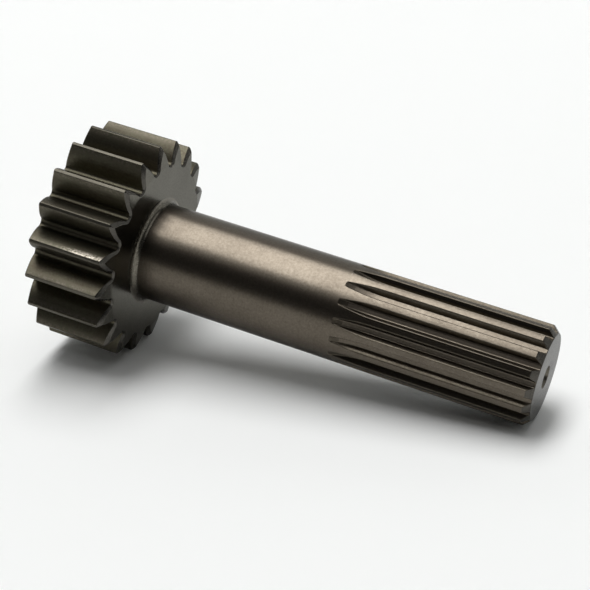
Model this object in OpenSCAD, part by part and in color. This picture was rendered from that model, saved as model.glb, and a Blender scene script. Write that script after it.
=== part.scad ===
/* [Sun gear] */
// Number of teeth on the sun gear
gear_teeth = 19; // [12:1:40]
// Module of the sun gear teeth
gear_module = 3; // [1.5:0.25:5]
// Profile shift of the sun gear teeth, as a share of the module
gear_shift = 0.7; // [0:0.05:0.7]
// Face width of the gear, from end face to shoulder
gear_face_w = 26.6; // [18:0.2:60]
// Radius left in the root of each tooth space
gear_root_fillet = 1.3; // [0.5:0.1:1.4]
// Share of the teeth's height that the cone turned on both end faces takes
end_cone = 0.9; // [0.2:0.01:0.95]
// Length of the same cone along the teeth
end_cone_l = 1.15; // [0.3:0.05:3]
// Chamfer at the tips of the teeth, at the shaft's end of the gear
tip_chamfer = 1.1; // [0.4:0.1:1.5]
// Chamfer at the bottom of the tooth spaces, at the same end
root_chamfer = 0.5; // [0.2:0.1:1.5]
// Broken edge round the tooth spaces at the outer end of the gear
outer_chamfer = 0.2; // [0.1:0.1:1]

/* [Shaft] */
// Diameter of the shaft, which is also the outside diameter of the spline
shaft_d = 29.7; // [27.5:0.1:31]
// Length of the shaft from the gear's shoulder to the far end
shaft_l = 124.2; // [80:0.1:240]
// Fillet between the shaft and the gear's shoulder
shoulder_fillet = 1.8; // [0.5:0.1:5]
// Diameter of the flat face at the spline end, inside its chamfer
end_face_d = 25.7; // [22:0.1:26]
// Length of the chamfer at the spline end
end_chamfer_l = 2.1; // [0.5:0.1:4]

/* [Spline] */
// Number of spline teeth
spline_teeth = 16; // [16:1:17]
// Module of the spline
spline_module = 1.667; // [1.6:0.001:1.7]
// Profile shift of the spline teeth, as a share of the module
spline_shift = 0.5; // [0.5:0.05:0.8]
// Diameter at the bottom of the spline grooves
spline_root_d = 26; // [25.6:0.1:27]
// Radius left at the bottom corners of the spline grooves
spline_root_fillet = 0.4; // [0.2:0.05:0.5]
// Length of the spline from the shaft's end to the tips of its run-outs
spline_l = 60.5; // [30:0.5:70]
// Radius of the cutter that leaves the curved run-outs
cutter_r = 36; // [20:1:60]
// Turn of the spline round the axis, from the lowest line to its nearest tooth
spline_turn = -4.4; // [-11:0.1:11]

/* [Centre holes] */
// Width of the countersink in each end face
countersink_d = 7; // [4:0.1:10]
// Diameter of the pilot hole in the middle of the countersink
pilot_d = 3.2; // [1.6:0.1:3.8]
// Depth of the pilot hole below the end face
pilot_depth = 8; // [5:0.5:12]

/* [Hidden] */
$fn = 96;
steel_bronze = [0.33, 0.30, 0.27];
// Pressure angle of the gear and of the spline
pressure_angle = 20;
// Root clearance below the pitch circle, as a share of the module
dedendum = 1.25;
// Included angle of a centre drill's countersink
countersink_angle = 60;
// Included angle of the pilot drill's point
drill_point_angle = 118;
// How far a cutting shape runs past the surface that it cuts
overcut = 0.5;
// Degrees that the sweep of the spline's cutter goes on past the surface
overturn = 2;
// Steps along one flank and round one root fillet
flank_steps = 7;
fillet_steps = 4;

gear_tip_r = gear_module * (gear_teeth / 2 + 1 + gear_shift);
gear_root_r = gear_module * (gear_teeth / 2 - dedendum + gear_shift);
gear_base_r = gear_module * gear_teeth / 2 * cos(pressure_angle);
gear_face_r = gear_tip_r - end_cone * (gear_tip_r - gear_root_r);
shaft_r = shaft_d / 2;
end_face_r = end_face_d / 2;
spline_root_r = spline_root_d / 2;
spline_base_r = spline_module * spline_teeth / 2 * cos(pressure_angle);
overall_l = gear_face_w + shaft_l;

// The grooves keep their full depth from the shaft's end to runout_start
groove_depth = shaft_r - spline_root_r;
runout_angle = acos(1 - groove_depth / cutter_r);
runout_start = overall_l - spline_l + cutter_r * sin(runout_angle);

// The part lies on the inner edges of its two lowest gear teeth, at the
// shaft end of their crests, and on one corner of the spline's end chamfer
crest_end = gear_face_w - end_cone_l - tip_chamfer;
gear_rest_angle = 180 / gear_teeth - half_tooth(gear_teeth, gear_shift, gear_base_r, gear_tip_r);
spline_half_tip = half_tooth(spline_teeth, spline_shift, spline_base_r, shaft_r);
spline_rest_angle = max(0, abs(spline_turn) - spline_half_tip);
gear_rest_r = gear_tip_r * cos(gear_rest_angle);
spline_rest_r = shaft_r * cos(spline_rest_angle);
lean = atan((gear_rest_r - spline_rest_r) / (overall_l - end_chamfer_l - crest_end));
axis_height = crest_end * sin(lean) + gear_rest_r * cos(lean);

// The origin is on the floor at the middle of the part's length
front_reach = overall_l * cos(lean) + end_face_r * sin(lean);
back_reach = gear_face_r * sin(lean);

function degrees_of(arc) = arc * 180 / PI;

// Angle turned by an involute from its base circle out to radius r
function involute_turn(base_r, r) =
    r <= base_r ? 0 : degrees_of(tan(acos(base_r / r))) - acos(base_r / r);

// Half of the angle that one tooth takes up at radius r
function half_tooth(teeth, shift, base_r, r) =
    90 / teeth + degrees_of(2 * shift * tan(pressure_angle) / teeth)
    + degrees_of(tan(pressure_angle)) - pressure_angle - involute_turn(base_r, r);

// Half of the angle of the tooth space at its base circle, widened by grow
function half_space(teeth, shift, base_r, grow) =
    180 / teeth - half_tooth(teeth, shift, base_r, base_r) + degrees_of(grow / base_r);

// One side of a tooth space, from its bottom out past the tips, as
// [radius, angle] pairs: a root fillet first, and then the involute flank
function space_side(teeth, shift, base_r, root_r, out_r, fillet, grow) =
    let (
        half = half_space(teeth, shift, base_r, grow),
        bottom_r = root_r - grow,
        round_r = fillet + grow,
        mid_r = bottom_r + round_r,
        on_involute = mid_r * mid_r > base_r * base_r + round_r * round_r,
        reach = on_involute ? sqrt(mid_r * mid_r - base_r * base_r) - round_r : 0,
        mid_angle = on_involute
            ? half + involute_turn(base_r, mid_r) - degrees_of(round_r / base_r)
            : half - asin(round_r / mid_r),
        first = 180 + mid_angle,
        last = on_involute ? mid_angle + acos(base_r / mid_r) + 90 : half + 90,
        start_r = on_involute
            ? sqrt(base_r * base_r + reach * reach)
            : sqrt(mid_r * mid_r - round_r * round_r)
    )
    concat(
        [for (i = [0 : fillet_steps - 1])
            let (turn = first + (last - first) * i / fillet_steps,
                 x = mid_r * cos(mid_angle) + round_r * cos(turn),
                 y = mid_r * sin(mid_angle) + round_r * sin(turn))
            [norm([x, y]), atan2(y, x)]],
        [for (i = [0 : flank_steps])
            let (r = start_r + (out_r - start_r) * i / flank_steps)
            [r, half + involute_turn(base_r, r)]]
    );

function across(side, sign) = [for (p = side) [p.x * cos(p.y), sign * p.x * sin(p.y)]];

function reversed(list) = [for (i = [len(list) - 1 : -1 : 0]) list[i]];

// The whole outline of a tooth space, lying along +X
function space_outline(side) = concat(across(side, 1), reversed(across(side, -1)));

// Radius at which the straight outer edge of an outline clears radius r
function clear_r(teeth, r) = (r + overcut) / cos(180 / teeth);

function gear_space_side(grow) =
    space_side(gear_teeth, gear_shift, gear_base_r, gear_root_r,
               clear_r(gear_teeth, gear_tip_r), gear_root_fillet, grow);

function spline_groove_side() =
    space_side(spline_teeth, spline_shift, spline_base_r, spline_root_r,
               clear_r(spline_teeth, shaft_r), spline_root_fillet, 0);

// How far the turned cone drops the end of the tooth at radius r
function cone_drop(r) =
    max(0, r - gear_face_r) * end_cone_l / (gear_tip_r - gear_face_r);

// Cuts the chamfer round one tooth space at the end face at z = 0. It grows
// from at_root to at_tip up the tooth, and follows the cone turned on the end
module space_chamfer(at_root, at_tip) {
    inner = gear_space_side(-overcut);
    outer_root = gear_space_side(at_root + overcut);
    outer_tip = gear_space_side(at_tip + overcut);
    n = len(inner);
    share = [for (i = [0 : n - 1]) i / (n - 1)];
    outer = [for (i = [0 : n - 1])
        outer_root[i] + (outer_tip[i] - outer_root[i]) * share[i]];
    inner_z = [for (i = [0 : n - 1])
        cone_drop(inner[i].x) + at_root + (at_tip - at_root) * share[i] + overcut];
    outer_z = [for (p = outer) cone_drop(p.x) - overcut];
    rings = concat(
        [for (i = [0 : n - 1]) [each across(inner, 1)[i], inner_z[i]]],
        [for (i = [0 : n - 1]) [each across(inner, -1)[i], inner_z[i]]],
        [for (i = [0 : n - 1]) [each across(outer, 1)[i], outer_z[i]]],
        [for (i = [0 : n - 1]) [each across(outer, -1)[i], outer_z[i]]]
    );
    strips = [for (i = [0 : n - 2]) each [
        [i, i + 1, n + i + 1, n + i],
        [2 * n + i, 3 * n + i, 3 * n + i + 1, 2 * n + i + 1],
        [i, 2 * n + i, 2 * n + i + 1, i + 1],
        [n + i, n + i + 1, 3 * n + i + 1, 3 * n + i]
    ]];
    ends = [
        [0, n, 3 * n, 2 * n],
        [n - 1, 3 * n - 1, 4 * n - 1, 2 * n - 1]
    ];
    polyhedron(points = rings, faces = concat(strips, ends));
}

// One space between two gear teeth, open at both end faces
module tooth_space() {
    translate([0, 0, -overcut])
        linear_extrude(gear_face_w + 2 * overcut)
            polygon(space_outline(gear_space_side(0)));
    space_chamfer(outer_chamfer, outer_chamfer);
    translate([0, 0, gear_face_w])
        mirror([0, 0, 1])
            space_chamfer(root_chamfer, tip_chamfer);
}

// One spline groove: straight from the shaft's end, and then run out
// through the surface on the radius of the cutter
module spline_groove() {
    outline = space_outline(spline_groove_side());
    translate([0, 0, runout_start])
        linear_extrude(overall_l - runout_start + overcut)
            polygon(outline);
    translate([spline_root_r + cutter_r, 0, runout_start])
        rotate([-90, 0, 180])
            rotate_extrude(angle = runout_angle + overturn)
                polygon([for (p = outline) [spline_root_r + cutter_r - p.x, p.y]]);
}

// A centre hole drilled down from the face at z = 0
module centre_hole() {
    sink_depth = (countersink_d - pilot_d) / 2 / tan(countersink_angle / 2);
    point_depth = pilot_d / 2 / tan(drill_point_angle / 2);
    flare = overcut * tan(countersink_angle / 2);
    rotate_extrude()
        polygon([
            [0, overcut],
            [countersink_d / 2 + flare, overcut],
            [pilot_d / 2, -sink_depth],
            [pilot_d / 2, -pilot_depth],
            [0, -pilot_depth - point_depth]
        ]);
}

// The turned blank: gear rim, shoulder with its fillet, shaft and end chamfer
module blank() {
    rotate_extrude()
        polygon([
            [0, 0],
            [gear_face_r, 0],
            [gear_tip_r, end_cone_l],
            [gear_tip_r, gear_face_w - end_cone_l],
            [gear_face_r, gear_face_w],
            [0, gear_face_w]
        ]);
    difference() {
        rotate_extrude()
            polygon([
                [0, gear_face_w / 2],
                [shaft_r + shoulder_fillet, gear_face_w / 2],
                [shaft_r + shoulder_fillet, gear_face_w + shoulder_fillet],
                [shaft_r, gear_face_w + shoulder_fillet],
                [shaft_r, overall_l - end_chamfer_l],
                [end_face_r, overall_l],
                [0, overall_l]
            ]);
        translate([0, 0, gear_face_w + shoulder_fillet])
            rotate_extrude()
                translate([shaft_r + shoulder_fillet, 0])
                    circle(shoulder_fillet);
    }
}

module sun_gear_shaft() {
    color(steel_bronze)
        translate([(back_reach - front_reach) / 2, 0, axis_height])
            rotate([0, 90 + lean, 0])
                difference() {
                    blank();
                    for (i = [0 : gear_teeth - 1])
                        rotate([0, 0, i * 360 / gear_teeth])
                            tooth_space();
                    for (i = [0 : spline_teeth - 1])
                        rotate([0, 0, spline_turn + (i + 0.5) * 360 / spline_teeth])
                            spline_groove();
                    rotate([180, 0, 0])
                        centre_hole();
                    translate([0, 0, overall_l])
                        centre_hole();
                }
}

sun_gear_shaft();
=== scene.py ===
import math

import bmesh
import bpy
from mathutils import Matrix, Vector


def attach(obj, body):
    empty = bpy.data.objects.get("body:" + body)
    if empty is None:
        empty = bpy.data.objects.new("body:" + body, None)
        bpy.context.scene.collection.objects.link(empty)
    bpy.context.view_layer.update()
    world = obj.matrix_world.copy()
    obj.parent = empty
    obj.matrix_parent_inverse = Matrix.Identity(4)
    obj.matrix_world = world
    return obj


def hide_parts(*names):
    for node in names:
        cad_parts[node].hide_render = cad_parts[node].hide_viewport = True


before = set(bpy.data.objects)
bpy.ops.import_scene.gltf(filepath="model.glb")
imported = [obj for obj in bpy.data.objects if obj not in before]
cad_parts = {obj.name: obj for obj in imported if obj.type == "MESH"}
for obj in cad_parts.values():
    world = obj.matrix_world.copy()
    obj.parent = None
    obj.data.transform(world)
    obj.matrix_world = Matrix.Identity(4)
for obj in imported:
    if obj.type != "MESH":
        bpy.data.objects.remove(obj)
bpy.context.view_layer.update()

# Sizes of the part in millimetres and degrees, the same as in its source
MM = 0.001
GEAR_TEETH, GEAR_MODULE, GEAR_SHIFT, GEAR_FACE_W, GEAR_ROOT_FILLET = 19, 3.0, 0.7, 26.6, 1.3
END_CONE, END_CONE_L = 0.9, 1.15
TIP_CHAMFER, ROOT_CHAMFER, OUTER_CHAMFER = 1.1, 0.5, 0.2
SHAFT_R, SHAFT_L, SHOULDER_FILLET = 14.85, 124.2, 1.8
END_FACE_R, END_CHAMFER_L = 12.85, 2.1
SPLINE_TEETH, SPLINE_MODULE, SPLINE_SHIFT, SPLINE_ROOT_R = 16, 1.667, 0.5, 13.0
SPLINE_ROOT_FILLET, SPLINE_L, CUTTER_R, SPLINE_TURN = 0.4, 60.5, 36.0, -4.4
COUNTERSINK_R, PILOT_R, PILOT_DEPTH = 3.5, 1.6, 8.0
COUNTERSINK_ANGLE, DRILL_POINT_ANGLE = 60, 118
LEAN, AXIS_HEIGHT, AXIS_START = 8.4045, 36.4238, -73.5178

# Standard proportions of a tooth, in modules
ADDENDUM, DEDENDUM = 1, 1.25
PRESSURE_ANGLE = math.radians(20)
GEAR_TIP_R = GEAR_MODULE * (GEAR_TEETH / 2 + ADDENDUM + GEAR_SHIFT)
GEAR_ROOT_R = GEAR_MODULE * (GEAR_TEETH / 2 - DEDENDUM + GEAR_SHIFT)
GEAR_BASE_R = GEAR_MODULE * GEAR_TEETH / 2 * math.cos(PRESSURE_ANGLE)
GEAR_FACE_R = GEAR_TIP_R - END_CONE * (GEAR_TIP_R - GEAR_ROOT_R)
SPLINE_BASE_R = SPLINE_MODULE * SPLINE_TEETH / 2 * math.cos(PRESSURE_ANGLE)

# Places along the axis, from the gear's outer face
FILLET_END = GEAR_FACE_W + SHOULDER_FILLET
OVERALL_L = GEAR_FACE_W + SHAFT_L
SPLINE_START = OVERALL_L - SPLINE_L
CHAMFER_START = OVERALL_L - END_CHAMFER_L

# Every machined edge is broken by about a tenth of a millimetre
EDGE_BREAK = 0.13
# Places less than this apart count as one
HAIR = 0.001
# How often a range is halved to find a place in it
HALVINGS = 30

# From the shaft's own frame, with Z along its axis, to where it lies on the floor
ALONG_SHAFT = Matrix.Translation((AXIS_START, 0, AXIS_HEIGHT)) @ Matrix.Rotation(
    math.radians(90 + LEAN), 4, "Y")


def linear(hex_colour):
    """An sRGB hex colour as the linear colour that a shader takes."""
    parts = [int(hex_colour[i : i + 2], 16) / 255 for i in (1, 3, 5)]
    return [c / 12.92 if c <= 0.04045 else ((c + 0.055) / 1.055) ** 2.4 for c in parts] + [1.0]


def add_node(tree, kind, settings=None, **inputs):
    """A shader node with its settings, and each input set to a value or linked to a socket.
    An input that shares its name with others is given by its number, such as _0."""
    node = tree.nodes.new(kind)
    for name, value in (settings or {}).items():
        setattr(node, name, value)
    for name, value in inputs.items():
        socket = node.inputs[int(name[1:]) if name[:1] == "_" else name.replace("_", " ")]
        if isinstance(value, bpy.types.NodeSocket):
            tree.links.new(value, socket)
        else:
            socket.default_value = value
    return node


def new_material(name):
    material = bpy.data.materials.new(name)
    material.use_nodes = True
    material.node_tree.nodes.clear()
    return material, material.node_tree


# ---- outlines of the teeth ----

def involute_turn(base_r, r):
    """Angle that an involute turns through from its base circle out to radius r."""
    return math.tan(math.acos(base_r / r)) - math.acos(base_r / r)


def space_side(teeth, shift, base_r, root_r, top_r, fillet, grow, fillet_steps, flank_steps):
    """Half of a tooth space's outline, from the middle of its bottom out to radius top_r.
    grow is how far the whole outline is moved into the tooth."""
    half = math.pi / teeth - (math.pi / 2 + 2 * shift * math.tan(PRESSURE_ANGLE)) / teeth \
        - math.tan(PRESSURE_ANGLE) + PRESSURE_ANGLE + grow / base_r
    round_r = fillet + grow
    mid_r = root_r + fillet
    mid_angle = half + involute_turn(base_r, mid_r) - round_r / base_r
    middle = Vector((mid_r * math.cos(mid_angle), mid_r * math.sin(mid_angle)))
    last = mid_angle + math.acos(base_r / mid_r) + math.pi / 2
    start_r = math.hypot(base_r, math.sqrt(mid_r ** 2 - base_r ** 2) - round_r)
    side = []
    for i in range(fillet_steps):
        turn = math.pi + mid_angle + (last - math.pi - mid_angle) * i / fillet_steps
        side.append(middle + round_r * Vector((math.cos(turn), math.sin(turn))))
    for i in range(flank_steps + 1):
        r = start_r + (top_r - start_r) * i / flank_steps
        turn = half + involute_turn(base_r, r)
        side.append(Vector((r * math.cos(turn), r * math.sin(turn))))
    bottom = side[0]
    return [Vector((bottom.x, 0)), Vector((bottom.x, bottom.y / 2))] + side


def turned(point, angle, z):
    """A point of an outline, turned round the axis and lifted to z."""
    c, s = math.cos(angle), math.sin(angle)
    return Vector((point.x * c - point.y * s, point.x * s + point.y * c, z))


def whole_ring(teeth, half, heights, first_turn=0.0):
    """A closed ring of places: half a space and its mirror image, repeated for every tooth."""
    places = []
    for k in range(teeth):
        angle = first_turn + 2 * math.pi * k / teeth
        for p, z in reversed(list(zip(half, heights))[1:]):
            places.append(turned(Vector((p.x, -p.y)), angle, z))
        places += [turned(p, angle, z) for p, z in list(zip(half, heights))[:-1]]
    return places


# ---- building rings ----

def first_ring(bm, places):
    """A closed ring of edges through its places."""
    ring = [bm.verts.new(p) for p in places]
    for a, b in zip(ring, ring[1:] + ring[:1]):
        bm.edges.new((a, b))
    return ring


def ring_edges(bm, ring):
    return [bm.edges.get((a, b)) for a, b in zip(ring, ring[1:] + ring[:1])]


def next_ring(bm, ring, places):
    """Extrudes a ring and moves the new one to its places."""
    out = bmesh.ops.extrude_edge_only(bm, edges=ring_edges(bm, ring))["geom"]
    new = {v for v in out if isinstance(v, bmesh.types.BMVert)}
    ring = [next(e.other_vert(v) for e in v.link_edges if e.other_vert(v) in new) for v in ring]
    for v, p in zip(ring, places):
        v.co = p
    return ring


def sweep(bm, rings):
    """The surface through a run of rings. Returns the first and the last of them."""
    first = ring = first_ring(bm, rings[0])
    for places in rings[1:]:
        ring = next_ring(bm, ring, places)
    return first, ring


# ---- the gear ----

# Half a tooth space has 2 places across its bottom, then those of its fillet and its flank,
# 1 on the broken edge and 3 on the crest
FILLET_STEPS, FLANK_STEPS = 6, 9
FLANK_START = 2 + FILLET_STEPS
CREST_EDGE = FLANK_START + FLANK_STEPS + 2
HALF_COUNT = CREST_EDGE + 3
# Half the angle left on the ridge where two chamfers meet
RIDGE = 0.12 / GEAR_TIP_R
# The largest share of half a crest that its broken edge takes
MOST_OF_CREST = 0.6


def gear_side(grow, r):
    return space_side(GEAR_TEETH, GEAR_SHIFT, GEAR_BASE_R, GEAR_ROOT_R, r,
                      GEAR_ROOT_FILLET, grow, FILLET_STEPS, FLANK_STEPS)


def half_crest(grow, r):
    """Angle left between a flank and the middle of its tooth at radius r."""
    corner = gear_side(grow, r)[-1]
    return math.pi / GEAR_TEETH - math.atan2(corner.y, corner.x)


def gear_half(grow, tip_r):
    """Half a tooth space and half a crest at one growth of the space, with the edge broken.
    Where the chamfers of a tooth meet in a ridge, the half ends at the ridge."""
    low, high = GEAR_ROOT_R + GEAR_ROOT_FILLET, tip_r
    if half_crest(grow, tip_r) < RIDGE:
        for _ in range(HALVINGS):
            middle = (low + high) / 2
            low, high = (middle, high) if half_crest(grow, middle) > RIDGE else (low, middle)
        tip_r = low
    broken = min(EDGE_BREAK, half_crest(grow, tip_r) * tip_r * MOST_OF_CREST)
    half = gear_side(grow, tip_r - broken)
    corner = gear_side(grow, tip_r)[-1]
    edge = math.atan2(corner.y, corner.x) + broken / tip_r
    crest = [Vector((tip_r * math.cos(a), tip_r * math.sin(a)))
             for a in (edge, (edge + math.pi / GEAR_TEETH) / 2, math.pi / GEAR_TEETH)]
    return half + [corner / 2 + (half[-1] + crest[0]) / 4] + crest


def gear_ring(chamfers, spread, depth, drop, far_end):
    """One ring of the gear near an end. Each place grows by its chamfer times spread[0] plus
    spread[1] and lies its chamfer times depth[0] plus depth[1] below the end's cone. drop is
    how far the crest is taken down."""
    half, heights = [], []
    for i, chamfer in enumerate(chamfers):
        grow = chamfer * spread[0] + spread[1]
        p = gear_half(grow, GEAR_TIP_R - drop)[i]
        cone = max(0.0, p.length - GEAR_FACE_R) * END_CONE_L / (GEAR_TIP_R - GEAR_FACE_R)
        z = cone + chamfer * depth[0] + depth[1]
        half.append(p)
        heights.append(GEAR_FACE_W - z if far_end else z)
    return whole_ring(GEAR_TEETH, half, heights)


def chamfer_sizes(at_root, at_tip):
    """The chamfer at each place of half a space, growing from the root to the tip."""
    # The share of its growth that it has at the start and at the end of the flank
    on_flank, on_crest = 0.364, 0.909
    shares = [0.0, 0.0]
    shares += [on_flank * i / FILLET_STEPS for i in range(FILLET_STEPS)]
    shares += [on_flank + (on_crest - on_flank) * i / FLANK_STEPS for i in range(FLANK_STEPS + 1)]
    shares += [on_crest] * (HALF_COUNT - len(shares))
    return [at_root + (at_tip - at_root) * s for s in shares]


def end_rings(at_root, at_tip, far_end):
    """The rings that round off both edges of a tooth's chamfer, from the end face inwards."""
    sizes = chamfer_sizes(at_root, at_tip)
    e, slant = EDGE_BREAK, EDGE_BREAK * math.sqrt(0.5)
    # The spread, depth and drop of each ring: three at each edge, and one between them
    steps = [
        ((1, e), (0, 0), e),
        ((1, (e - slant) / 4), (0, slant / 4), e / 4),
        ((1, -slant), (0, slant), 0),
        ((0.46, 0), (0.54, 0), 0),
        ((0, slant), (1, -slant), 0),
        ((0, slant / 4), (1, (e - slant) / 4), 0),
        ((0, 0), (1, e), 0),
    ]
    return [gear_ring(sizes, spread, depth, drop, far_end) for spread, depth, drop in steps]


def close_teeth(bm, ring):
    """Closes the ends of the teeth, and returns the edges left round the roots."""
    size = 2 * (HALF_COUNT - 1)
    middle = HALF_COUNT - 1
    root_edges = []
    for k in range(GEAR_TEETH):
        here, after = k * size + middle, (k + 1) % GEAR_TEETH * size + middle
        left = [ring[here + i] for i in range(FLANK_START, CREST_EDGE + 1)]
        right = [ring[after - i] for i in range(FLANK_START, CREST_EDGE + 1)]
        rails = [bm.edges.get(pair) for side in (left, right) for pair in zip(side, side[1:])]
        bmesh.ops.bridge_loops(bm, edges=rails)
        crest = [left[-1], ring[here + CREST_EDGE + 1], ring[after - CREST_EDGE - 2],
                 ring[after - CREST_EDGE - 1], right[-1]]
        bmesh.ops.contextual_create(
            bm, geom=[bm.edges.get(pair) for pair in zip(crest, crest[1:] + crest[:1])])
        root = [ring[here + i] for i in range(-FLANK_START, FLANK_START + 1)]
        root_edges += [bm.edges.get(pair) for pair in zip(root, root[1:])]
        root_edges.append(bm.edges.get((left[0], right[0])))
    return root_edges


# ---- the shaft and its spline ----
GROOVE_STEPS, RUNOUT_STEPS, SHOULDER_STEPS, HOLE_STEPS = 18, 16, 10, 64
RUNOUT_ANGLE = math.acos(1 - (SHAFT_R - SPLINE_ROOT_R) / CUTTER_R)
RUNOUT_L = CUTTER_R * math.sin(RUNOUT_ANGLE)
# The groove's outline reaches 1 mm beyond the shaft, so that every blank cuts it
GROOVE = space_side(SPLINE_TEETH, SPLINE_SHIFT, SPLINE_BASE_R, SPLINE_ROOT_R, SHAFT_R + 1,
                    SPLINE_ROOT_FILLET, grow=0, fillet_steps=8, flank_steps=24)


def groove_half(turned_r, back):
    """Half of a groove and of a tooth tip where the blank's radius is turned_r. back is how
    far the place lies up the run-out, where the cutter has lifted every point along an arc."""
    centre = SPLINE_ROOT_R + CUTTER_R
    line = [Vector((centre - math.sqrt((centre - p.x) ** 2 - back ** 2), p.y)) for p in GROOVE]
    inside = [p for p in line if p.length < turned_r]
    a, b = inside[-1], line[len(inside)]
    low, high = 0.0, 1.0
    for _ in range(HALVINGS):
        t = (low + high) / 2
        low, high = (t, high) if a.lerp(b, t).length < turned_r else (low, t)
    corner = a.lerp(b, low)
    line = inside + [corner]

    # Evenly spaced places along the line, up to the broken edge
    run = [0.0]
    for p, q in zip(line, line[1:]):
        run.append(run[-1] + (q - p).length)
    broken = min(EDGE_BREAK, run[-1] / 4)
    half, k = [], 0
    for i in range(GROOVE_STEPS + 1):
        want = (run[-1] - broken) * i / GROOVE_STEPS
        while k < len(run) - 2 and run[k + 1] < want:
            k += 1
        # Two places of the line can coincide, which mustn't divide by 0
        half.append(line[k].lerp(line[k + 1], (want - run[k]) / max(run[k + 1] - run[k], 1e-9)))
    edge = math.atan2(corner.y, corner.x) + broken / turned_r
    crest = [Vector((turned_r * math.cos(t), turned_r * math.sin(t)))
             for t in (edge, (edge + math.pi / SPLINE_TEETH) / 2, math.pi / SPLINE_TEETH)]
    return half + [corner / 2 + (half[-1] + crest[0]) / 4] + crest


def spline_ring(turned_r, z, back=0.0):
    half = groove_half(turned_r, back)
    first = math.radians(SPLINE_TURN) + math.pi / SPLINE_TEETH
    return whole_ring(SPLINE_TEETH, half, [z] * len(half), first)


def round_ring(r, z, like):
    """A plain ring at radius r, with its places at the angles of the ring like."""
    return [Vector((p.x, p.y, 0)).normalized() * r + Vector((0, 0, z)) for p in like]


def shaft_rings():
    """The rings of the shaft, from its shoulder fillet along the spline to its end face."""
    # Closest together at the tips of the run-outs, and starting a hair inside them, where the
    # grooves already have a width
    backs = [RUNOUT_L * (1 - (i / RUNOUT_STEPS) ** 2) for i in range(RUNOUT_STEPS + 1)]
    backs[0] -= 4 * HAIR
    grooved = spline_ring(SHAFT_R, SPLINE_START, backs[0])
    steps = [2 * math.pi * i / len(grooved) for i in range(len(grooved))]
    start = math.atan2(grooved[0].y, grooved[0].x)
    even = [turned(Vector((math.cos(t), math.sin(t), 0)), start, 0) for t in steps]

    # The fillet and the plain shaft, which has evenly spaced places up to 12 mm from the
    # spline and those of the grooves just before it
    rings = []
    for i in range(SHOULDER_STEPS + 1):
        t = math.pi / 2 * i / SHOULDER_STEPS
        rings.append(round_ring(SHAFT_R + SHOULDER_FILLET - SHOULDER_FILLET * math.sin(t),
                                GEAR_FACE_W + SHOULDER_FILLET * (1 - math.cos(t)), even))
    rings += [round_ring(SHAFT_R, z, even) for z in (GEAR_FACE_W + 4, SPLINE_START - 12)]
    rings.append(round_ring(SHAFT_R, SPLINE_START - 0.05, grooved))

    # The run-outs, with full grooves from there to the end chamfer
    rings += [spline_ring(SHAFT_R, SPLINE_START + RUNOUT_L - back, back) for back in backs]

    # The end chamfer cuts down through the grooves, as far as their roots at root_z
    slope = (SHAFT_R - END_FACE_R) / END_CHAMFER_L
    along = EDGE_BREAK / math.hypot(1, slope)
    root_z = OVERALL_L - (SPLINE_ROOT_R - END_FACE_R) / slope
    rings += [spline_ring(SHAFT_R, CHAMFER_START - EDGE_BREAK),
              spline_ring(SHAFT_R - along * slope / 4, CHAMFER_START + (along - EDGE_BREAK) / 4)]
    for share in (0.0, 0.2, 0.4, 0.6, 0.8, 0.95, 0.995):
        z = CHAMFER_START + along + (root_z - CHAMFER_START - along) * share
        rings.append(spline_ring(SHAFT_R - slope * (z - CHAMFER_START), z))

    # Below the roots the chamfer is a plain cone, and a rounded edge ends it at the face
    last = rings[-1]
    rings += [round_ring(SPLINE_ROOT_R - 0.02, root_z + 0.02 / slope, last),
              round_ring(END_FACE_R + 0.04, OVERALL_L - 0.03, last),
              round_ring(END_FACE_R - 0.06, OVERALL_L, last)]
    return rings


def centre_hole(bm, z, into):
    """Spins a centre hole down from the face at z, and returns the edges of its rim."""
    edge, point_r = 0.1, 0.01
    sink = (COUNTERSINK_R - PILOT_R) / math.tan(math.radians(COUNTERSINK_ANGLE / 2))
    point = PILOT_R / math.tan(math.radians(DRILL_POINT_ANGLE / 2))
    profile = [(COUNTERSINK_R + edge, 0), (COUNTERSINK_R, 0.4 * edge),
               (COUNTERSINK_R - edge / 2, 1.4 * edge), (PILOT_R + edge / 2, sink),
               (PILOT_R, sink + edge), (PILOT_R, PILOT_DEPTH), (point_r, PILOT_DEPTH + point)]
    chain = [bm.verts.new((r, 0, z + into * depth)) for r, depth in profile]
    edges = [bm.edges.new(pair) for pair in zip(chain, chain[1:])]
    bmesh.ops.spin(bm, geom=chain + edges, cent=(0, 0, 0), axis=(0, 0, 1),
                   angle=2 * math.pi, steps=HOLE_STEPS, use_merge=True)
    bm.verts.ensure_lookup_table()
    rim = [e for e in bm.edges if len(e.link_faces) == 1
           and all(abs(v.co.z - z) < HAIR and v.co.xy.length < COUNTERSINK_R + 2 * edge
                   for v in e.verts)]
    tip = [e for e in bm.edges if len(e.link_faces) == 1
           and all(v.co.xy.length < 2 * point_r for v in e.verts)]
    bmesh.ops.contextual_create(bm, geom=tip)
    return rim


# ---- the whole piece ----

# Places of the finishes in the piece's list of materials
GROUND, FORM_GROUND_AND_HIGHLIGHT, TURNED, SIDES, TIPS, HOBBED_GEAR, HOBBED_SPLINE = range(7)


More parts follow.
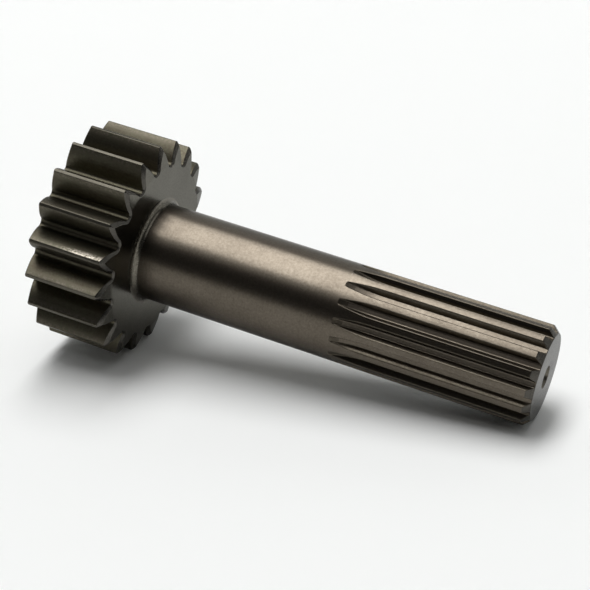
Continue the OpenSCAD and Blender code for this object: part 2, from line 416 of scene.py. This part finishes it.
def finish_of(face):
    """The finish of a face, from where it lies and which way it looks. outward is 1 on a face
    that looks straight away from the axis, and endward is 1 on one that looks along it."""
    place = face.calc_center_median()
    outward = place.xy.normalized().dot(face.normal.xy)
    endward = abs(face.normal.z)
    on_gear = place.z < GEAR_FACE_W + HAIR
    if place.xy.length < COUNTERSINK_R:
        return FORM_GROUND_AND_HIGHLIGHT
    if on_gear and endward > 0.9:
        return SIDES
    if not on_gear and place.z < FILLET_END:
        return FORM_GROUND_AND_HIGHLIGHT
    if endward > 0.45:
        return TURNED
    if on_gear:
        on_tip = place.xy.length > GEAR_TIP_R - 0.4 and outward > 0.95
        return TIPS if on_tip else HOBBED_GEAR
    return GROUND if outward > 0.97 or place.z < SPLINE_START else HOBBED_SPLINE


def build_sun_gear_shaft():
    bm = bmesh.new()

    # Gear rim, from its outer end to the end at the shaft
    outer = end_rings(OUTER_CHAMFER, OUTER_CHAMFER, False)
    inner = end_rings(ROOT_CHAMFER, TIP_CHAMFER, True)
    outer_end, inner_end = sweep(bm, outer + inner[::-1])
    outer_roots = close_teeth(bm, outer_end)
    inner_roots = close_teeth(bm, inner_end)

    # Shaft, and the flat faces with their centre holes
    shoulder, end_edge = sweep(bm, shaft_rings())
    outer_hole = centre_hole(bm, 0, 1)
    spline_hole = centre_hole(bm, OVERALL_L, -1)
    for edges in (outer_roots + outer_hole, ring_edges(bm, end_edge) + spline_hole,
                  inner_roots + ring_edges(bm, shoulder)):
        bmesh.ops.triangle_fill(bm, use_beauty=True, edges=edges)

    bmesh.ops.recalc_face_normals(bm, faces=bm.faces)
    for face in bm.faces:
        face.material_index = finish_of(face)
        face.smooth = True
    bm.verts.index_update()
    on_cylinder = {v.index: v.co.xy.normalized().to_3d() for v in bm.verts
                   if v.co.xy.length > SHAFT_R - HAIR
                   and FILLET_END - HAIR < v.co.z < CHAMFER_START}
    bmesh.ops.transform(bm, matrix=Matrix.Scale(MM, 4) @ ALONG_SHAFT, verts=bm.verts)
    mesh = bpy.data.meshes.new("steel_sun_gear_shaft")
    bm.to_mesh(mesh)
    bm.free()

    # Broad faces stay flat, only the narrow broken edges round off between them, and the
    # cylinder is smooth all round
    normals = [Vector() for _ in mesh.vertices]
    for face in mesh.polygons:
        for v in face.vertices:
            normals[v] += face.normal * face.area
    for i, outward in on_cylinder.items():
        normals[i] = ALONG_SHAFT.to_3x3() @ outward
    mesh.normals_split_custom_set_from_vertices([n.normalized() for n in normals])
    piece = bpy.data.objects.new("steel_sun_gear_shaft", mesh)
    bpy.context.scene.collection.objects.link(piece)
    return piece


# ---- steel ----

# Sizes of the patterns in millimetres: the mottle from the heat treatment, the clouds in the
# oil film, and the depth of the fine pits. Real mottle is about 0.1 mm, and is drawn coarser
# so that it can be seen.
MOTTLE, CLOUDS, PITS = 0.7, 9, 0.010
# The width of a streak along the teeth, as a share of its length
STREAK_WIDTH = 0.03
# How far the worn edges and flanks turn to bare metal, where 1 is bare
EDGE_WEAR, FLANK_WEAR = 0.7, 0.15


def machined_steel(name, clean, dull, bright, glare, rings, line_mm, line_depth, roughness,
                   polish, streak=0.0, wear_and_highlight_spot=None):
    """Case-hardened steel under a film of oil: machining lines, a mottled tone from the heat
    treatment, and edges worn brighter. clean, dull and bright colour the metal, its film and
    its worn edges, and glare tints what it mirrors at a low angle. rings is whether the lines
    run round the axis. They are line_mm apart and line_depth mm deep. polish is the smoothness
    that wear adds. streak draws highlights out along the shaft. wear_and_highlight_spot is the
    middle of a patch painted as bright, pitted metal: partly wear, and partly a painted
    highlight where the lamp shines off one flank."""
    material, tree = new_material(name)
    # Millimetres in the shaft's own frame, with Z along its axis
    place = add_node(tree, "ShaderNodeTexCoord").outputs["Object"]
    place = add_node(tree, "ShaderNodeMapping", {"vector_type": "TEXTURE"}, Vector=place,
                     Location=(AXIS_START * MM, 0, AXIS_HEIGHT * MM),
                     Rotation=(0, math.radians(90 + LEAN), 0), Scale=(MM, MM, MM)).outputs[0]
    radius = add_node(tree, "ShaderNodeVectorMath", {"operation": "MULTIPLY"},
                      _0=place, _1=(1, 1, 0)).outputs[0]
    radius = add_node(tree, "ShaderNodeVectorMath", {"operation": "LENGTH"},
                      _0=radius).outputs["Value"]
    if rings:
        z = add_node(tree, "ShaderNodeSeparateXYZ", None, Vector=place).outputs["Z"]
        lines = add_node(tree, "ShaderNodeCombineXYZ", None, X=radius, Z=z).outputs[0]
    else:
        lines = add_node(tree, "ShaderNodeVectorMath", {"operation": "MULTIPLY"},
                         _0=place, _1=(1, 1, STREAK_WIDTH)).outputs[0]
    lines = add_node(tree, "ShaderNodeTexNoise", None, Vector=lines,
                     Scale=1 / line_mm, Detail=3.0, Roughness=0.6).outputs["Fac"]
    mottle = add_node(tree, "ShaderNodeTexNoise", None, Vector=place,
                      Scale=1 / MOTTLE, Detail=4.0, Roughness=0.7).outputs["Fac"]
    cloud = add_node(tree, "ShaderNodeTexNoise", None, Vector=place,
                     Scale=1 / CLOUDS, Detail=2.0, Roughness=0.5).outputs["Fac"]

    # Tone: clean metal to duller film, fine mottle over faint clouds and lines. The sum lies
    # about 0.8, since each noise lies about 0.5.
    film = add_node(tree, "ShaderNodeMath", {"operation": "MULTIPLY_ADD"},
                    _0=cloud, _1=0.35, _2=mottle).outputs[0]
    film = add_node(tree, "ShaderNodeMath", {"operation": "MULTIPLY_ADD"},
                    _0=lines, _1=0.25, _2=film).outputs[0]
    film = add_node(tree, "ShaderNodeMapRange", None, Value=film,
                    From_Min=0.575, From_Max=1.025).outputs[0]
    tone = add_node(tree, "ShaderNodeMix", {"data_type": "RGBA"}, Factor=film,
                    _6=linear(clean), _7=linear(dull)).outputs[2]

    # Wear: bent edges, where Pointiness is above 0.5, and the upper part of the gear's flanks
    # where its mates have run. The flat faces square to the axis are worn at their rims alone.
    shape = add_node(tree, "ShaderNodeNewGeometry")
    lengthwise = add_node(tree, "ShaderNodeCombineXYZ", None, X=math.cos(math.radians(LEAN)),
                          Z=-math.sin(math.radians(LEAN))).outputs[0]
    square = add_node(tree, "ShaderNodeVectorMath", {"operation": "DOT_PRODUCT"},
                      _0=shape.outputs["Normal"], _1=lengthwise).outputs["Value"]
    square = add_node(tree, "ShaderNodeMath", {"operation": "ABSOLUTE"}, _0=square).outputs[0]
    reach = add_node(tree, "ShaderNodeMapRange", None, Value=square, From_Min=0.9999,
                     From_Max=0.998, To_Max=EDGE_WEAR).outputs[0]
    edge = add_node(tree, "ShaderNodeMapRange", None, Value=shape.outputs["Pointiness"],
                    From_Min=0.53, From_Max=0.6, To_Max=reach).outputs[0]
    run = add_node(tree, "ShaderNodeMapRange", None, Value=radius, From_Min=GEAR_TIP_R - 1.8,
                   From_Max=GEAR_TIP_R - 0.6, To_Max=FLANK_WEAR).outputs[0]
    worn = add_node(tree, "ShaderNodeMath", {"operation": "MAXIMUM"}, _0=edge, _1=run).outputs[0]
    patchy = add_node(tree, "ShaderNodeMapRange", None, Value=mottle,
                      From_Min=0.41, From_Max=0.64).outputs[0]
    worn = add_node(tree, "ShaderNodeMath", {"operation": "MULTIPLY"},
                    _0=worn, _1=patchy).outputs[0]
    pits = PITS * MM
    if wear_and_highlight_spot:
        # Wear and a painted highlight, long along its tooth: bare within 0.6 mm of its middle
        # line and gone at 1.7 mm
        spot = add_node(tree, "ShaderNodeVectorMath", {"operation": "SUBTRACT"},
                        _0=place, _1=wear_and_highlight_spot).outputs[0]
        spot = add_node(tree, "ShaderNodeVectorMath", {"operation": "MULTIPLY"},
                        _0=spot, _1=(1, 1, 0.15)).outputs[0]
        spot = add_node(tree, "ShaderNodeVectorMath", {"operation": "LENGTH"},
                        _0=spot).outputs["Value"]
        spot = add_node(tree, "ShaderNodeMapRange", None, Value=spot, From_Min=1.7,
                        From_Max=0.6).outputs[0]
        spot = add_node(tree, "ShaderNodeMath", {"operation": "MULTIPLY"},
                        _0=spot, _1=patchy).outputs[0]
        worn = add_node(tree, "ShaderNodeMath", {"operation": "MAXIMUM"},
                        _0=worn, _1=spot).outputs[0]
        pits = add_node(tree, "ShaderNodeMapRange", None, Value=spot, To_Min=pits,
                        To_Max=5 * pits).outputs[0]
    tone = add_node(tree, "ShaderNodeMix", {"data_type": "RGBA"}, Factor=worn,
                    _6=tone, _7=linear(bright)).outputs[2]

    # Gloss: the film and the lines scatter, and worn metal is smoother
    gloss = add_node(tree, "ShaderNodeMapRange", None, Value=film,
                     To_Min=roughness - 0.03, To_Max=roughness + 0.04).outputs[0]
    gloss = add_node(tree, "ShaderNodeMath", {"operation": "MULTIPLY_ADD"},
                     _0=worn, _1=-polish, _2=gloss).outputs[0]

    relief = add_node(tree, "ShaderNodeBump", None, Height=lines, Strength=1.0,
                      Distance=line_depth * MM).outputs[0]
    relief = add_node(tree, "ShaderNodeBump", None, Height=mottle, Strength=1.0,
                      Distance=pits, Normal=relief).outputs[0]
    shader = add_node(tree, "ShaderNodeBsdfPrincipled", None, Base_Color=tone, Metallic=1.0,
                      Roughness=gloss, Normal=relief, Anisotropic=streak, Tangent=lengthwise,
                      Specular_Tint=linear(glare))
    add_node(tree, "ShaderNodeOutputMaterial", None, Surface=shader.outputs[0])
    return material


piece = build_sun_gear_shaft()
# In the order of the finishes. Real lines lie closer, at about 0.05 mm from grinding, 0.15 mm
# from turning and 0.2 mm from hobbing, and all are drawn coarser so that they can be seen.
for steel in (
    # Bronze-grey satin, with soft lines round the axis from the grinding wheel
    machined_steel("cylindrically_ground_case_hardened_steel",
                   clean="#686157", dull="#564F46", bright="#8A8278", glare="#E8E8E8",
                   rings=True, line_mm=0.35, line_depth=0.002, roughness=0.31, polish=0.05,
                   streak=0.2),
    # Glossier where the edge of a shaped wheel has run: the corner at the gear and the cones of
    # the centre holes. Its lighter colour is partly a painted highlight on these places.
    machined_steel("form_ground_steel_and_painted_highlight",
                   clean="#706C63", dull="#5E5A51", bright="#8A867C", glare="#E8E8E8",
                   rings=True, line_mm=0.3, line_depth=0.001, roughness=0.28, polish=0.03),
    # Neutral grey with rings left by the lathe, on the spline's end and on all chamfers
    machined_steel("turned_case_hardened_steel",
                   clean="#56534E", dull="#45433F", bright="#8A857C", glare="#DDDDDD",
                   rings=True, line_mm=0.5, line_depth=0.004, roughness=0.25, polish=0.05),
    # The sides of the gear wheel, with the same rings, a little lighter and glossier
    machined_steel("faced_case_hardened_gear_steel",
                   clean="#6E6C65", dull="#5B5952", bright="#8A857C", glare="#D2D2D2",
                   rings=True, line_mm=0.5, line_depth=0.004, roughness=0.20, polish=0.05),
    # The tips of the gear teeth, turned before they were cut and dulled by the film
    machined_steel("turned_case_hardened_tooth_tip_steel",
                   clean="#58554D", dull="#48453D", bright="#807B71", glare="#DDDDDD",
                   rings=True, line_mm=0.5, line_depth=0.001, roughness=0.37, polish=0.05),
    # Darker olive-grey, with streaks along the teeth and flanks polished by the mating gears. One
    # flank has a bright patch that is partly wear and partly a painted highlight
    machined_steel("hobbed_case_hardened_gear_steel",
                   clean="#525144", dull="#463F36", bright="#B8B0A4", glare="#DDDDDD",
                   rings=False, line_mm=0.4, line_depth=0.006, roughness=0.42, polish=0.14,
                   wear_and_highlight_spot=(-9.2, -32.1, 20.5)),
    # The same cut on the spline, where the hub has kept the grooves cleaner
    machined_steel("hobbed_case_hardened_spline_steel",
                   clean="#544F46", dull="#423C34", bright="#948C80", glare="#DDDDDD",
                   rings=False, line_mm=0.35, line_depth=0.006, roughness=0.30, polish=0.05),
):
    piece.data.materials.append(steel)
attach(piece, "root")
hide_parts("sun_gear_shaft")


# ---- camera ----
CAMERA_PLACE = Vector((177.202, -412.96, 231.614)) * MM
CAMERA_AIM = Vector((-1.261, 0.0, 25.92)) * MM
camera_data = bpy.data.cameras.new("camera")
camera_data.sensor_width = 36.0
camera_data.lens = 102.2
camera = bpy.data.objects.new("camera", camera_data)
camera.location = CAMERA_PLACE
camera.rotation_mode = "QUATERNION"
camera.rotation_quaternion = (CAMERA_AIM - CAMERA_PLACE).to_track_quat("-Z", "Y")
bpy.context.scene.collection.objects.link(camera)
bpy.context.scene.camera = camera


# ---- studio, in metres ----

def matt_paint(name, hex_colour):
    """Flat white paint, which gives the floor and walls an even, pale tone."""
    material, tree = new_material(name)
    shader = add_node(tree, "ShaderNodeBsdfDiffuse", None, Color=linear(hex_colour))
    add_node(tree, "ShaderNodeOutputMaterial", None, Surface=shader.outputs[0])
    return material


def add_stage(name, bm, material):
    mesh = bpy.data.meshes.new(name)
    bm.to_mesh(mesh)
    bm.free()
    mesh.materials.append(material)
    stage = bpy.data.objects.new(name, mesh)
    bpy.context.scene.collection.objects.link(stage)


def softbox(name, place, size, radiance):
    """A level white panel that shines straight down."""
    data = bpy.data.lights.new(name, "AREA")
    data.shape = "RECTANGLE"
    data.size, data.size_y = size
    data.energy = radiance * math.pi * size[0] * size[1]
    lamp = bpy.data.objects.new(name, data)
    lamp.location = place
    bpy.context.scene.collection.objects.link(lamp)


bm = bmesh.new()
bmesh.ops.create_grid(bm, x_segments=1, y_segments=1, size=8.0)
add_stage("floor", bm, matt_paint("matt_white_floor_paint", "#F7F8F7"))

# A white wall curves round the back and the sides, and the camera's side is left dark. A cove
# joins it to the floor, a little above it.
WALL_R, WALL_H, COVE_R, COVE_STEPS, ABOVE_FLOOR = 3.4, 2.9, 0.5, 8, 0.002
WALL_START, WALL_SWEEP, WALL_STEPS = math.radians(-15), math.radians(210), 48
bm = bmesh.new()
profile = []
for i in range(COVE_STEPS + 1):
    t = math.pi / 2 * i / COVE_STEPS
    profile.append(bm.verts.new((WALL_R - COVE_R + COVE_R * math.sin(t), 0,
                                 COVE_R - COVE_R * math.cos(t) + ABOVE_FLOOR)))
profile.append(bm.verts.new((WALL_R, 0, WALL_H)))
edges = [bm.edges.new(pair) for pair in zip(profile, profile[1:])]
bmesh.ops.rotate(bm, verts=bm.verts, cent=(0, 0, 0), matrix=Matrix.Rotation(WALL_START, 3, "Z"))
bmesh.ops.spin(bm, geom=profile + edges, cent=(0, 0, 0), axis=(0, 0, 1),
               angle=WALL_SWEEP, steps=WALL_STEPS)
for face in bm.faces:
    face.smooth = True
add_stage("backdrop", bm, matt_paint("matt_white_wall_paint", "#DCDDDC"))

# A wide overhead diffuser, and a brighter bank of lamps behind its middle
softbox("overhead_diffuser", place=(0.2, -0.6, 5.05), size=(4.6, 7.0), radiance=0.76)
softbox("overhead_softbox", place=(-0.8, 0.6, 5.0), size=(1.7, 5.6), radiance=6.7)

world = bpy.data.worlds.new("dim_room")
bpy.context.scene.world = world
world.use_nodes = True
world.node_tree.nodes.clear()
room = add_node(world.node_tree, "ShaderNodeBackground", None, Color=linear("#FFFFFF"),
                Strength=0.03)
add_node(world.node_tree, "ShaderNodeOutputWorld", None, Surface=room.outputs[0])

bpy.context.scene.view_settings.view_transform = "Standard"
